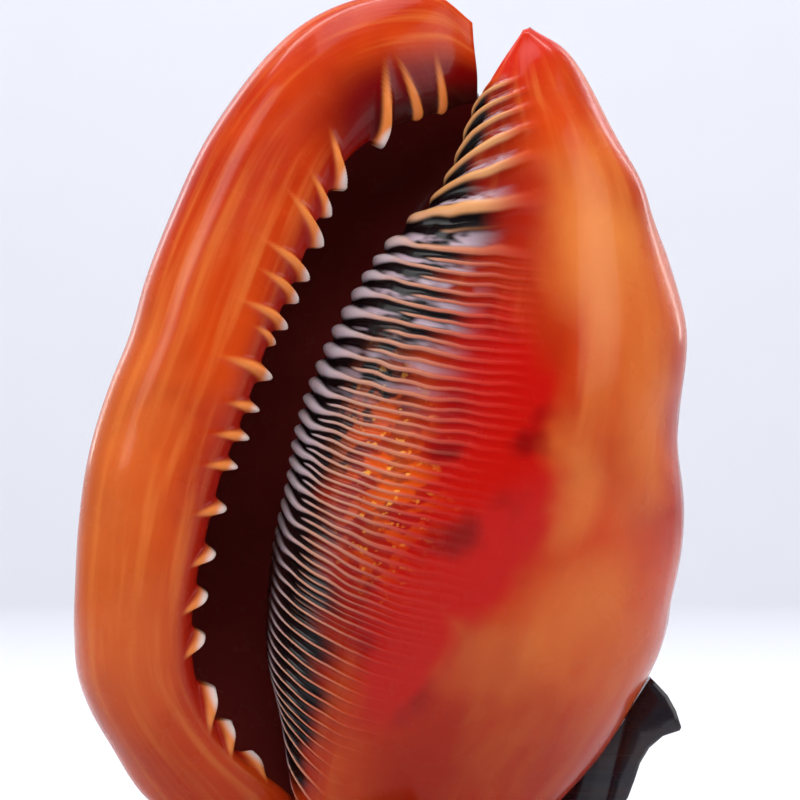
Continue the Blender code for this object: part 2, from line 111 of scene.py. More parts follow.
LIP_OUTER = [SPIRE_TIP, (-9, -12, 0, 16.5), (-5, -25, -6, 20), (-2, -35, -11, 24),
             (0, -40.8, -14, 27.6), (4, -48.4, -18, 39), (9, -52.9, -20, 48.9), (14, -53.8, -22, 58),
             (19, -53.5, -23, 67.3), (23, -52.9, -23, 77.2), (27, -51.7, -23, 86.8),
             (30, -50.1, -22, 93.9), (33, -47.5, -22, 101.9), (36, -44.3, -21, 110.7),
             (39, -41.4, -20, 121), (42, -36.6, -18, 133), (45, -30, -16.5, 146.5),
             (50, -15.1, -15, 165), (55, 1.3, -13, 172), (58, 11.2, -12, 171.5),
             (END_ROW, 17, -10, 167)]
LIP_INNER = SEAM + [MOUTH_END, (4, -24, -22, 36), (9, -31, -28, 48), (14, -32.2, -30, 57.5),
                    (19, -31, -31, 68), (23, -28.7, -31, 79), (27, -26.5, -31, 87.5),
                    (30, -24.1, -31, 94), (33, -21.3, -31, 101.8), (36, -18.3, -31, 110.6),
                    (39, -14.3, -30, 120.5), (42, -10.5, -29, 130.5), (45, -6.5, -27, 139.5),
                    (50, 2.6, -21, 147.2), (55, 12, -15.5, 150.4), (END_ROW, 18.2, -10, 152.8)]
CAVITY_RIGHT = [MOUTH_END, (6, 4, 10, 48), (12, 16, 13, 60), (20, 20, 13, 76), (30, 20, 11, 98),
                (38, 19, 7, 116), (45, 18, 2, 133), (50, 20, -2, 143), (55, 22.5, -5.5, 151),
                (END_ROW, 24.5, -8, 159)]
LIP_ROLL = [(TIP_ROW, 0), (-5, 5), (0, 8.5), (9, 10.5), (27, 11), (42, 10.5), (50, 8), (55, 5),
            (END_ROW, 0.8)]
WALL = [(MOUTH_ROW, 7), (30, 6), (45, 5), (54, 3.2), (END_ROW, 1.2)]
CAVITY_OPENS_BY = 9
# How far the hollow lies lower near the notch, at its left and at its back, where the wall above it faces up.
CEILING_DROP = (5, 1.5)
LIP_CREST = 0.43  # where the lip is thickest, from its outer to its inner edge

# Direction of the ring at each station, along X or Y. Where the mouth is closed, the ring crosses the seam
# along X.
HEADINGS = [(0, -1), (1, 0), (0, 1), (-1, 0), (0, -1), (0, -1), (1, 0), (0, 1), (0, 1), (1, 0), (0, -1)]
EDGE, CREST, RIGHT, REAR, LEFT, OUTER, LIP, INNER, HOLLOW = range(9)
ROUND = 1.657  # length of a cubic's end tangents, over the radius, that makes a quarter of a circle

# Knobs in spiral rows round the back: row at the right side, row at the left side, number, height and spread
# in millimetres, and the stations between which they stand.
KNOB_ROWS = [(13, 6, 8, 4.2, 5.2), (26.5, 20.5, 8, 2.9, 5.0), (35.5, 33.5, 7, 2.2, 4.6),
             (43, 45, 5, 1.5, 4.2)]
KNOBS_FROM, KNOBS_SPAN = 2.08, 1.84
# Knobs that show as soft swells through the glaze of the shield: row, station, height and spread.
COVERED_KNOBS = [(43, 1.72, 1.5, 5.5), (34.5, 1.9, 1.1, 7), (24, 1.9, 1.0, 7)]
# Teeth of the lip: row of the tip, height in mm, length of the root in stations, rise of the root in rows and
# width in mm.
TEETH = [(3.8, 2.2, 0.36, -2.4, 1.5), (6, 2.5, 0.42, -2.6, 1.6), (8.6, 2.7, 0.44, -3.4, 1.8),
         (14, 2.4, 0.34, -2.1, 1.25), (17.7, 2.4, 0.38, -1.7, 1.2), (20.6, 2.5, 0.34, -0.8, 1.15),
         (23.6, 2.5, 0.46, -0.4, 1.15), (27.2, 2.4, 0.5, 0, 1.0), (29.6, 2.5, 0.52, 0.1, 1.0),
         (31.6, 2.5, 0.5, 0.3, 0.95), (33.7, 2.8, 0.75, 1.2, 1.15), (35.6, 1.5, 0.5, 1.0, 0.75),
         (36.6, 2.5, 0.75, 1.4, 0.95), (38, 2.4, 0.68, 1.6, 0.9), (39.2, 2.6, 0.74, 1.8, 0.95),
         (41, 2.8, 0.7, 2.5, 1.0), (42.6, 2.2, 0.55, 1.9, 0.9), (44.3, 2.8, 0.65, 2.9, 1.05),
         (48.7, 2.4, 0.95, 4.4, 1.15), (52.4, 0.6, 0.95, 1.2, 0.95), (54.8, 0.6, 0.9, 1.6, 0.95)]
TOOTH_EDGE = 6.98  # station of the teeth's tips
TOOTH_TIP_REACH = 0.34
SPIRE_GROWTH = 1.75
SPIRE_KNOBS_TO_A_TURN = 18
SPIRE_GROOVE = 0.9
SPIRE_KNOB = 0.35
SHIELD_THICKNESS = 0.8
LIP_CREASE = 1.6
GUM_SINK = 0.5  # how far the lip lies below its curve between the teeth
# Row from which the ridges are coarse, and how narrow the ends, the fine ridges and the coarse ones are.
COARSE_FROM = 38
BEAD_POWER = 0.45
FINE_POWER = 8.0
COARSE_POWER = 2.6
# How far from the pillar's edge the near-black valleys reach, partly the shell's own stain and partly painted
# shade between the ridges: row and stations.
STAIN_AND_SHADE = [(TIP_ROW, 0.0), (0, 0.5), (4, 0.72), (10, 0.75), (15, 0.66), (19, 0.58), (24, 0.5), (27, 0.54),
         (30, 0.62), (33, 0.7), (36, 0.76), (39, 0.76), (42, 0.64), (46, 0.55), (51, 0.5), (END_ROW, 0.2)]

# Rows and columns of the mesh, the columns by the spans of the ring.
ROWS = np.concatenate([np.linspace(TIP_ROW, MOUTH_ROW, 29)[:-1],
                       np.linspace(MOUTH_ROW, LAST_RIDGE, 9 * (LAST_RIDGE - MOUTH_ROW) + 1)[:-1],
                       np.linspace(LAST_RIDGE, END_ROW, 38)])
COLUMNS = [46, 14, 20, 20, 10, 10, 36, 11, 6, 6, 10]


def through(points, at):
    """A smooth curve through points, each a row and its values, read at the rows in at."""
    table = np.array(points, float)
    rows, values = table[:, 0], table[:, 1:]
    step = np.diff(rows)[:, None]
    rise = np.diff(values, axis=0) / step
    slope = np.vstack([rise[:1], (rise[:-1] * step[1:] + rise[1:] * step[:-1]) / (step[1:] + step[:-1]),
                       rise[-1:]])
    at = np.asarray(at, float)
    k = np.clip(np.searchsorted(rows, at, side="right") - 1, 0, len(rows) - 2)
    h = step[k]
    t = (at - rows[k])[:, None] / h
    return ((2 * t**3 - 3 * t**2 + 1) * values[k] + (t**3 - 2 * t**2 + t) * h * slope[k]
            + (3 * t**2 - 2 * t**3) * values[k + 1] + (t**3 - t**2) * h * slope[k + 1])


def smoothstep(low, high, x):
    t = np.clip((x - low) / (high - low), 0, 1)
    return t * t * (3 - 2 * t)


def stations(rows):
    """Points of each row where the ring of the section turns along X or Y, in order round the ring."""
    edge, crest = through(PILLAR_EDGE, rows), through(RIDGE_END, rows)
    right, back, left = through(RIGHT_SIDE, rows), through(BACK, rows), through(LEFT_BACK, rows)
    outer = through(LIP_OUTER, rows)
    inner = np.where(rows[:, None] <= MOUTH_ROW, edge, through(LIP_INNER, rows))
    roll, wall = through(LIP_ROLL, rows)[:, 0], through(WALL, np.maximum(rows, 0))[:, 0]
    lip = outer + LIP_CREST * (inner - outer)
    lip[:, 1] -= roll
    opened = smoothstep(MOUTH_ROW, CAVITY_OPENS_BY, rows)[:, None]
    start = np.array(MOUTH_END[1:], float)
    sunk = smoothstep(46, 52, rows) * (1 - 0.5 * smoothstep(55, END_ROW, rows))
    hollow_left = left + np.stack([wall, -0.4 * wall, -CEILING_DROP[0] * sunk], 1)
    hollow_back = back + np.stack([-0.3 * wall, -wall, 0.3 * wall - CEILING_DROP[1] * sunk], 1)
    hollow_right = through(CAVITY_RIGHT, np.maximum(rows, 0))
    hollow_left = start + opened * (hollow_left - start)
    hollow_back = start + opened * (hollow_back - start)
    return [edge, crest, right, back, left, outer, lip, inner, hollow_left, hollow_back, hollow_right]


def headings(station, rows):
    heading = np.tile(np.array(HEADINGS[station], float), (len(rows), 1))
    if station in (EDGE, INNER):
        turn = math.pi / 2 * smoothstep(MOUTH_ROW - 3, MOUTH_ROW + 1, rows)
        heading = np.stack([np.cos(turn), heading[:, 1] * np.sin(turn)], 1)
    return heading


def ring_points(rows, counts):
    """The rings of the rows, as rows, columns and x, y, z, and the station number of each column."""
    marks = stations(rows)
    n = len(marks)
    chord = [np.linalg.norm(marks[(i + 1) % n] - marks[i], axis=1) + 1e-6 for i in range(n)]
    climb = [(marks[(i + 1) % n] - marks[i])[:, 2] / chord[i] for i in range(n)]
    columns, numbers = [], []
    for i, count in enumerate(counts):
        step = marks[(i + 1) % n] - marks[i]
        ends = []
        for k in (i, (i + 1) % n):
            heading = headings(k, rows)
            reach = np.abs(step[:, :2] * heading).sum(1)
            slope = (climb[k - 1] * chord[k] + climb[k] * chord[k - 1]) / (chord[k - 1] + chord[k])
            ends.append(np.column_stack([heading * (reach * ROUND)[:, None], slope * chord[i]]))
        for c in range(count):
            t = c / count
            numbers.append(i + t)
            columns.append((2 * t**3 - 3 * t**2 + 1) * marks[i] + (t**3 - 2 * t**2 + t) * ends[0]
                           + (3 * t**2 - 2 * t**3) * marks[(i + 1) % n] + (t**3 - t**2) * ends[1])
    return np.stack(columns, 1), np.array(numbers)


def facing(points, closed, inner):
    """Outward unit normals of the rings' surface. In closed rings the first and the inner column coincide."""
    along = np.roll(points, -1, 1) - np.roll(points, 1, 1)
    along[closed, 0] = points[closed, 1] - points[closed, 0]
    along[closed, inner] = points[closed, inner] - points[closed, inner - 1]
    normal = np.cross(along, np.gradient(points, axis=0))
    normal[closed, 0] = normal[closed, inner] = normal[closed, 0] + normal[closed, inner]
    return normal / np.maximum(np.linalg.norm(normal, axis=2, keepdims=True), 1e-9)


def soft_noise(points, period, seed):
    """Smooth noise at points in millimetres, about -1 to 1, with a period in millimetres."""
    shift = Vector((seed, 2.3 * seed, -1.7 * seed))
    flat = points.reshape(-1, 3) / period
    return np.array([noise.noise(Vector(p) + shift) for p in flat.tolist()]).reshape(points.shape[:-1])


def knobs(points):
    """How much of a knob there is at each point, from 0 to 1, and its height in millimetres."""
    placed = [(*knob, 0) for knob in COVERED_KNOBS]
    for right_row, left_row, count, height, spread in KNOB_ROWS:
        for k in range(count):
            along = (k + 0.5) / count
            size = 0.9 + 0.1 * math.cos(2.4 * k + right_row)
            placed.append((right_row + along * (left_row - right_row), KNOBS_FROM + KNOBS_SPAN * along,
                           height * size, spread * size, 1))
    share, raised = np.zeros(points.shape[:2]), np.zeros(points.shape[:2])
    for row, station, height, spread, bare in placed:
        ring, numbers = ring_points(np.array([row]), [20] * len(HEADINGS))
        centre = ring[0, np.abs(numbers - station).argmin()]
        bump = np.exp(-((points - centre) ** 2).sum(2) / (2 * spread**2))
        share = np.maximum(share, bare * bump)
        raised = np.maximum(raised, height * bump)
    return share, raised


def ridges(rows, numbers, wander):
    """Ridges across the pillar side of the mouth: their height, 0 to 1, and shares for the phase, one turn to
    a ridge, how narrow the ridges are, where they are, where others start between them, where they are coarse
    and where they fade into a smooth edge."""
    s = np.where(numbers > 10, numbers - 11, numbers)[None, :]
    row = rows[:, None]
    coarse = smoothstep(COARSE_FROM - 1, COARSE_FROM + 3, row)
    slanted = row - 2.6 * s * smoothstep(COARSE_FROM - 1, COARSE_FROM + 9, row)
    slanted = slanted + 1.5 * s * (1 - smoothstep(18, 34, row))
    phase = slanted - 0.5 * np.maximum(0, slanted - COARSE_FROM) + wander * smoothstep(0.06, 0.3, s)
    turn = 2 * math.pi * phase
    taper = smoothstep(0.1, 0.45, s)
    narrow = BEAD_POWER * ((FINE_POWER + coarse * (COARSE_POWER - FINE_POWER)) / BEAD_POWER) ** taper
    narrow = narrow + coarse * (1 - taper) * 1.5
    start = 0.3 + 0.2 * smoothstep(31, 38, row) + 0.09 * np.sin(12.99 * np.floor(phase))
    split = smoothstep(start - 0.04, start + 0.12, s) * smoothstep(12, 22, row) * (1 - coarse)
    crest = (0.5 + 0.5 * np.cos(turn)) ** np.minimum(0.4 * narrow + 0.4, 3)
    crest = np.maximum(crest, 0.85 * split * (0.5 - 0.5 * np.cos(turn)) ** 2.6)
    where = smoothstep(-0.5, -0.12, s) * (1 - smoothstep(0.7, 1.12, s + 0.3 * wander))
    where = where * smoothstep(0, 2.5, row) * (1 - smoothstep(LAST_RIDGE, LAST_RIDGE + 2, row))
    faded = (1 - smoothstep(17, 26, row)) * (1 - smoothstep(0.12, 0.42, s))
    shares = {"faded": faded, "phase": phase, "narrow": narrow, "ridged": where, "split": split,
              "coarse": coarse + 0 * s}
    return shares, crest


def teeth(points, rows, numbers):
    """Teeth along the lip's inner edge: share of tooth from 0 to 1, height in mm, and share of white tip."""
    edge = points[:, np.abs(numbers - INNER).argmin()]
    run = np.concatenate([[0], np.cumsum(np.linalg.norm(np.diff(edge, axis=0), axis=1))])
    s = numbers[None, :]
    share, raised, tip = (np.zeros(points.shape[:2]) for _ in range(3))
    for row, height, root, rise, width in TEETH:
        back = np.clip(TOOTH_EDGE - s, 0, 2)
        centre = np.interp(row + rise * back / max(root, 0.1), rows, run)
        swell = smoothstep(TOOTH_EDGE - 1.25 * root, 6.95, s)
        breadth = width * (0.5 + 0.5 * swell)
        body = np.exp(-(np.abs(run[:, None] - centre) / breadth) ** 2.4) * swell
        body = body * (1 - smoothstep(7.1, 7.4, s))
        share = np.maximum(share, body)
        raised = np.maximum(raised, height * body * (0.22 + 0.78 * smoothstep(0.35, 1, swell)))
        tip = np.maximum(tip, min(1, height / 2) * body * smoothstep(TOOTH_EDGE - TOOTH_TIP_REACH, 6.92, s))
    return share, raised, tip


def spire(points, rows):
    """Depth of the seam between the whorls, a spiral round the tip, from 0 to 1, and height of the knobs
    above it."""
    x, y = points[:, :, 0] - SPIRE_TIP[1], points[:, :, 1] - SPIRE_TIP[2]
    r = np.hypot(x, y) + 1e-3
    turn = np.arctan2(y, x) / (2 * math.pi) - np.log(r / 3) / math.log(SPIRE_GROWTH)
    off = turn - np.round(turn)
    here = smoothstep(1, 4, r) * (1 - smoothstep(-3.2, -1.5, rows))[:, None] * np.minimum(1, r / 12)
    bead = np.exp(-(((np.abs(off) - 0.5) / 0.16) ** 2)) * np.cos(SPIRE_KNOBS_TO_A_TURN * np.arctan2(y, x))
    return here * np.exp(-((off / 0.09) ** 2)), here * bead


def shell_surface(rows, counts, sizes):
    """Points of the shell in millimetres, each column's station number, and the shares that colour it."""
    points, numbers = ring_points(rows, counts)
    row, s = rows[:, None], numbers[None, :]
    inner = int((numbers <= INNER).sum()) - 1
    outward = facing(points, rows <= MOUTH_ROW, inner)
    wander = soft_noise(points * (0.6, 0.6, 1), 11, 3)
    waves = 0.2 * wander + 0.13 * soft_noise(points * (1, 1, 0.5), 4.5, 5)
    shares, crest = ridges(rows, numbers, waves)
    phase, ridged = shares["phase"], shares["ridged"]
    tooth, tooth_height, tip = teeth(points, rows, numbers)
    knob, knob_height = knobs(points)
    seam, bead = spire(points, rows)
    near = np.where(s > 10, s - 11, s)
    lean = 0.62 + 0.7 * np.exp(-(((near - 0.05) / 0.18) ** 2)) - 0.3 * smoothstep(0.35, 1, near)
    lean = lean + 0.5 * shares["coarse"] * smoothstep(0.1, 0.4, near)
    raised = sizes.ridge_height * (crest - 0.4) * ridged * lean * (1 + 0.25 * wander)
    raised = raised * (1 - 0.8 * shares["faded"])
    gum = smoothstep(6.25, 7, s) * (1 - smoothstep(7.05, 7.35, s)) * smoothstep(2, 5, row)
    raised = raised + sizes.tooth_height * tooth_height - GUM_SINK * gum
    raised = raised + sizes.knob_height * knob_height - SPIRE_GROOVE * seam + SPIRE_KNOB * bead
    margin = 2.1 - 0.2 * smoothstep(11, 20, row) * (1 - smoothstep(28, 38, row))
    margin = margin + 0.05 * soft_noise(points, 14, 8)
    glazed = (1 - smoothstep(margin, margin + 0.1, s)) * smoothstep(0, 0.6, s)
    glazed = glazed * smoothstep(-3, 0, row) * (1 - smoothstep(50, 58, row))
    crease = np.exp(-(((s - 4.5) / 0.2) ** 2)) * smoothstep(2, 8, row) * (1 - smoothstep(46, 54, row))
    raised = raised + SHIELD_THICKNESS * glazed - LIP_CREASE * crease
    calm = smoothstep(TIP_ROW, -10, row) * (1 - smoothstep(54, END_ROW, row))
    raised = raised + sizes.unevenness * calm * soft_noise(points, 22, 1) * (s < HOLLOW)
    raised[rows == TIP_ROW] = 0
    points = points + raised[:, :, None] * outward
    points[rows <= MOUTH_ROW, inner:] = points[rows <= MOUTH_ROW, :1]
    # The near-black valleys by the pillar's edge: partly the shell's own stain, partly painted shade between
    # the ridges.
    reach = through(STAIN_AND_SHADE, rows) - 0.12 * wander - 0.06 * np.sin(7.9 * np.floor(phase))
    stain_and_shade = 1 - smoothstep(-0.1, 0.1, near - reach)
    inside = smoothstep(7.15, 7.7, s) * (1 - smoothstep(10.35, 10.85, s)) * smoothstep(0, 2, row)
    throat = smoothstep(5.7, 6.85, s + 0.1 * wander) * (1 - smoothstep(7.1, 7.4, s)) * smoothstep(43, 51, row)
    rim = smoothstep(59, 59.8, row) * smoothstep(1.6, 2.2, s) * (1 - smoothstep(4.4, 5, s))
    # Where the painted glint lies: the upper slopes of the ridges near the notch, a highlight painted as
    # colour.
    painted_glint_area = smoothstep(0.2, 0.42, near) * (1 - smoothstep(0.65, 0.92, near)) * smoothstep(28, 35, row)
    shares = {**shares, "stain_and_shade": stain_and_shade * ridged, "throat": np.maximum(throat, rim), "painted_glint": painted_glint_area,
              "across": np.clip(near, -0.5, 1.5) + 0 * row,
              "tooth": tooth, "tip": tip, "gum": gum, "inside": inside, "knob": knob, "seam": seam,
              "back": smoothstep(margin + 0.02, margin + 0.12, s) * (1 - smoothstep(4.35, 4.6, s)) + 0 * row,
              "lip": smoothstep(4.4, 4.8, s) * (1 - smoothstep(7.1, 7.4, s)) * smoothstep(-2, 3, row)}
    return points, numbers, shares


def zip_faces(first, second):
    """Triangles that close the gap between two runs of vertices that start and end together."""
    faces, i, j = [], 0, 0
    while i < len(first) - 1 or j < len(second) - 1:
        go_first = j == len(second) - 1 or (
            i < len(first) - 1
            and (first[i + 1].co - second[j].co).length <= (second[j + 1].co - first[i].co).length)
        third = first[i + 1] if go_first else second[j + 1]
        corners = (first[i], second[j], third)
        if len(set(corners)) == 3:
            faces.append(corners)
        i, j = (i + 1, j) if go_first else (i, j + 1)
    return faces


def close_rim_and_seam(mesh, width):
    """Closes the shell's rim at the notch, merges the points that coincide and turns the faces outward."""
    shape = bmesh.new()
    shape.from_mesh(mesh)
    shape.verts.ensure_lookup_table()
    top = shape.verts[-width:]
    crest, outer = sum(COLUMNS[:CREST]), sum(COLUMNS[:OUTER])
    inside = [top[crest - k] for k in range(crest + 1)] + list(top[outer:-1])[::-1]
    for corners in zip_faces(list(top[crest:outer + 1]), inside):
        shape.faces.new(corners)
    bmesh.ops.remove_doubles(shape, verts=shape.verts, dist=WELD)
    bmesh.ops.recalc_face_normals(shape, faces=shape.faces)
    shape.to_mesh(mesh)
    shape.free()


def linear(red, green, blue):
    """A colour given as seen on a screen, 0 to 255, as light."""
    return tuple((c / 255 / 12.92 if c < 10.3 else ((c / 255 + 0.055) / 1.055) ** 2.4)
                 for c in (red, green, blue))


class Finish:
    """A material with a Principled shader, and short ways to add the nodes that feed it."""

    def __init__(self, name):
        self.material = bpy.data.materials.new(name)
        self.material.use_nodes = True
        self.tree = self.material.node_tree
        self.shader = self.tree.nodes["Principled BSDF"]
        self.place = self.node("ShaderNodeTexCoord").outputs["Object"]

    def node(self, kind, inputs=(), **settings):
        made = self.tree.nodes.new(kind)
        for name, value in settings.items():
            setattr(made, name, value)
        for name, value in dict(inputs).items():
            self.feed(made.inputs[name], value)
        return made

    def feed(self, socket, value):
        if isinstance(value, bpy.types.NodeSocket):
            self.tree.links.new(value, socket)
        elif socket.type == "RGBA":
            socket.default_value = (*value, 1) if len(value) == 3 else value
        else:
            socket.default_value = value

    def share(self, name):
        return self.node("ShaderNodeAttribute", attribute_name=name).outputs["Fac"]

    def math(self, operation, *values, clamp=False):
        made = self.node("ShaderNodeMath", dict(enumerate(values)), operation=operation, use_clamp=clamp)
        return made.outputs[0]

    def vector(self, operation, first, second):
        return self.node("ShaderNodeVectorMath", {0: first, 1: second}, operation=operation).outputs[0]

    def mix(self, factor, first, second, blend="MIX"):
        made = self.node("ShaderNodeMix", data_type="RGBA", blend_type=blend)
        self.feed(made.inputs[0], factor)
        self.feed(made.inputs[6], first)
        self.feed(made.inputs[7], second)
        return made.outputs[2]

    def spread(self, value, low, high, to_low=0.0, to_high=1.0):
        return self.node("ShaderNodeMapRange", {"Value": value, "From Min": low, "From Max": high,
                                                "To Min": to_low, "To Max": to_high},
                         interpolation_type="SMOOTHSTEP").outputs["Result"]

    def noise(self, scale, detail=3.0, where=None, stretch=(1, 1, 1), distortion=0.0):
        mapped = self.node("ShaderNodeMapping", {"Vector": where or self.place, "Scale": stretch}).outputs[0]
        return self.node("ShaderNodeTexNoise", {"Vector": mapped, "Scale": scale, "Detail": detail,
                                                "Distortion": distortion}).outputs["Fac"]

    def patch(self, centre, radii, warp=None):
        """A soft spot in the loft's millimetres: 1 at its centre and 0 from its radii outward."""
        centre = (Vector(centre) + Vector(ORIGIN)) * MM
        away = self.vector("SUBTRACT", warp or self.place, centre)
        scaled = self.vector("MULTIPLY", away, [1 / (r * MM) for r in radii])
        far = self.node("ShaderNodeVectorMath", {0: scaled}, operation="LENGTH").outputs["Value"]
        return self.spread(far, 1.0, 0.15)

    def bump(self, height, strength, distance, under=None):
        made = self.node("ShaderNodeBump", {"Height": height, "Strength": strength, "Distance": distance})
        if under:
            self.feed(made.inputs["Normal"], under)
        return made.outputs[0]


def shell_finish(colours):
    """Glossy shell: orange lip and shield, red by the ridges, dark valleys that are partly stain and partly
    painted shade, pale crests and teeth, a painted glint above the ridges near the notch, a painted highlight
    high on the shield, painted shade toward the spire, and a mottled back."""
    f = Finish("glossy orange shell")
    wide = f.noise(26, 3, distortion=0.6)
    fine = f.noise(120, 4)
    warp = f.node("ShaderNodeTexNoise", {"Vector": f.place, "Scale": 45.0, "Detail": 3.0}).outputs["Color"]
    warp = f.vector("SUBTRACT", warp, (0.5, 0.5, 0.5))
    warp = f.vector("MULTIPLY", warp, (0.016, 0.016, 0.022))
    warped = f.vector("ADD", f.place, warp)
    grown = f.node("ShaderNodeUVMap", uv_map="growth").outputs[0]

    orange = f.mix(f.spread(wide, 0.35, 0.68), colours.orange, colours.deep_orange)
    bands = f.spread(f.noise(1, 3, grown, (70, 5, 1)), 0.45, 0.75, 0, 0.5)
    orange = f.mix(bands, orange, colours.pale_orange)
    # Lighter clouds in the orange. The strongest, high on the shield, is partly painted highlight: it stands
    # in for a soft glow of light there.
    for centre, radii, much in (((39, -24, 129), (15, 24, 24), 1.0), ((33, -36, 86), (10, 20, 15), 0.55),
                                ((46, -18, 100), (13, 25, 34), 0.6), ((22, -34, 52), (24, 20, 12), 0.35),
                                ((-48, -25, 84), (24, 50, 80), 0.45), ((37, -20, 60), (18, 30, 20), 0.6)):
        orange = f.mix(f.math("MULTIPLY", f.patch(centre, radii, warped), much), orange, colours.pale_orange)
    red = f.math("MAXIMUM", f.patch((20, -36, 93), (18, 44, 34), warped),
                 f.patch((13, -36, 74), (19, 44, 22), warped))
    red = f.math("MAXIMUM", red, f.patch((3, -30, 58), (15, 44, 26), warped))
    red = f.math("MULTIPLY", f.spread(red, 0.05, 0.7), f.math("SUBTRACT", 1.0, f.share("lip")))
    colour = f.mix(red, orange, colours.red)
    crimson = f.math("MULTIPLY", red, f.spread(f.noise(70, 2), 0.5, 0.68, 0, 0.7))
    colour = f.mix(crimson, colour, colours.crimson)
    for centre in (12.8, -36, 90.4), (12.3, -36, 75.3):
        spot = f.patch(centre, (5, 20, 4.5), warped)
        colour = f.mix(f.math("MULTIPLY", spot, 0.8), colour, colours.crimson)
    # Painted shade: the colour darkens low on the shell, toward the spire, first to deep orange, then to
    # brown.
    shade_low = f.patch((34, -20, 30), (45, 60, 26), warped)
    colour = f.mix(f.math("MULTIPLY", shade_low, 0.55), colour, colours.deep_orange)
    height = f.node("ShaderNodeSeparateXYZ", {0: f.place}).outputs["Z"]
    colour = f.mix(f.spread(height, 0.1, 0.02, 0, 0.4), colour, colours.brown)
    peak = f.patch((27, -14, 168), (13, 30, 18), warped)
    colour = f.mix(f.spread(peak, 0, 0.8, 0, 0.7), colour, colours.red)

    cosine = f.math("COSINE", f.math("MULTIPLY", f.share("phase"), 2 * math.pi))
    main = f.math("POWER", f.math("MULTIPLY_ADD", cosine, 0.5, 0.5, clamp=True), f.share("narrow"))
    others = f.math("POWER", f.math("MULTIPLY_ADD", cosine, -0.5, 0.5, clamp=True), 11.0)
    line = f.math("MAXIMUM", main, f.math("MULTIPLY", others, f.share("split")))
    # Valleys: deep crimson, and near the pillar's edge near black, partly the shell's own stain and partly
    # painted shade between the ridges.
    valley = f.mix(f.share("stain_and_shade"), f.mix(0.65, colour, colours.crimson), colours.stain_and_shade)
    lit = f.patch((3, -30, 85), (14, 30, 27), warped)
    for flecks, low, light in (((100, 50, 1), 0.46, colours.glow), ((200, 130, 1), 0.6, colours.fleck)):
        flecks = f.spread(f.noise(1, 2, grown, flecks), low, low + 0.1)
        valley = f.mix(f.math("MULTIPLY", lit, flecks), valley, light)
    crest = f.mix(f.spread(f.share("across"), 0.4, 1.0, 0, 0.85), colours.crest, colour)
    crest = f.mix(f.spread(f.share("across"), 0.22, 0.5), colours.bead, crest)
    crest = f.mix(f.share("faded"), crest, colours.edge)
    valley = f.mix(f.share("faded"), valley, colours.edge)
    creamy = f.math("MULTIPLY", f.share("coarse"), f.spread(f.share("across"), 1.0, 0.6))
    crest = f.mix(creamy, crest, colours.cream)
    # Painted glint: a pale lilac highlight painted on the upper slope of each ridge near the notch, where the
    # lights would catch it.
    slope = f.math("SINE", f.math("MULTIPLY", f.share("phase"), 2 * math.pi))
    painted_glint = f.math("MULTIPLY", f.spread(slope, 0.2, 0.95),
                   f.spread(f.noise(1, 2, grown, (50, 90, 1)), 0.4, 0.58))
    painted_glint = f.math("MULTIPLY", painted_glint, f.share("painted_glint"))
    valley = f.mix(painted_glint, valley, colours.painted_glint)
    ridged = f.mix(f.spread(line, 0.2, 0.8), valley, crest)
    colour = f.mix(f.share("ridged"), colour, ridged)

    back = f.mix(f.spread(f.noise(95, 6, distortion=0.3), 0.43, 0.56), colours.back_dark, colours.back_light)
    back = f.mix(f.spread(f.noise(1, 3, grown, (16, 40, 1)), 0.5, 0.64, 0, 0.75), back, colours.brown)
    back = f.mix(f.spread(f.share("knob"), 0.3, 0.95, 0, 0.75), back, colours.knob)
    colour = f.mix(f.share("back"), colour, back)
    colour = f.mix(f.spread(f.share("gum"), 0.1, 0.8, 0, 0.95), colour, colours.gum)
    colour = f.mix(f.spread(f.share("throat"), 0.0, 0.6), colour, colours.crimson)
    colour = f.mix(f.spread(f.share("throat"), 0.55, 1.0), colour, colours.throat)
    colour = f.mix(f.spread(f.share("tooth"), 0.1, 0.6), colour, colours.root)
    colour = f.mix(f.spread(f.share("tip"), 0.35, 0.95), colour, colours.tip)
    colour = f.mix(f.share("inside"), colour, colours.inside)
    # The groove of the seam between the whorls is darkened with the same colour.
    colour = f.mix(f.math("MULTIPLY", f.share("seam"), 0.7), colour, colours.stain_and_shade)
    f.feed(f.shader.inputs["Base Color"], colour)

    rough = f.spread(fine, 0.3, 0.7, 0.2, 0.3)
    rough = f.math("ADD", rough, f.math("MULTIPLY", f.share("back"), 0.14))
    f.feed(f.shader.inputs["Roughness"], rough)
    lines = f.bump(f.noise(1, 4, grown, (260, 6, 1)), 0.1, 0.0006)
    cords = f.math("MULTIPLY", f.noise(1, 2, grown, (9, 420, 1)), f.share("back"))
    cords = f.bump(cords, 0.35, 0.0008, lines)
    cords = f.bump(f.math("MULTIPLY", line, f.share("ridged")), 0.35, 0.0007, cords)
    f.feed(f.shader.inputs["Normal"], cords)
    f.shader.inputs["Specular IOR Level"].default_value = 0.12
    f.shader.inputs["Coat Weight"].default_value = 0.16
    f.shader.inputs["Coat Roughness"].default_value = 0.06
    f.shader.inputs["Subsurface Weight"].default_value = 0.12
    f.shader.inputs["Subsurface Radius"].default_value = (1.0, 0.25, 0.1)
    f.shader.inputs["Subsurface Scale"].default_value = 0.003
    return f.material


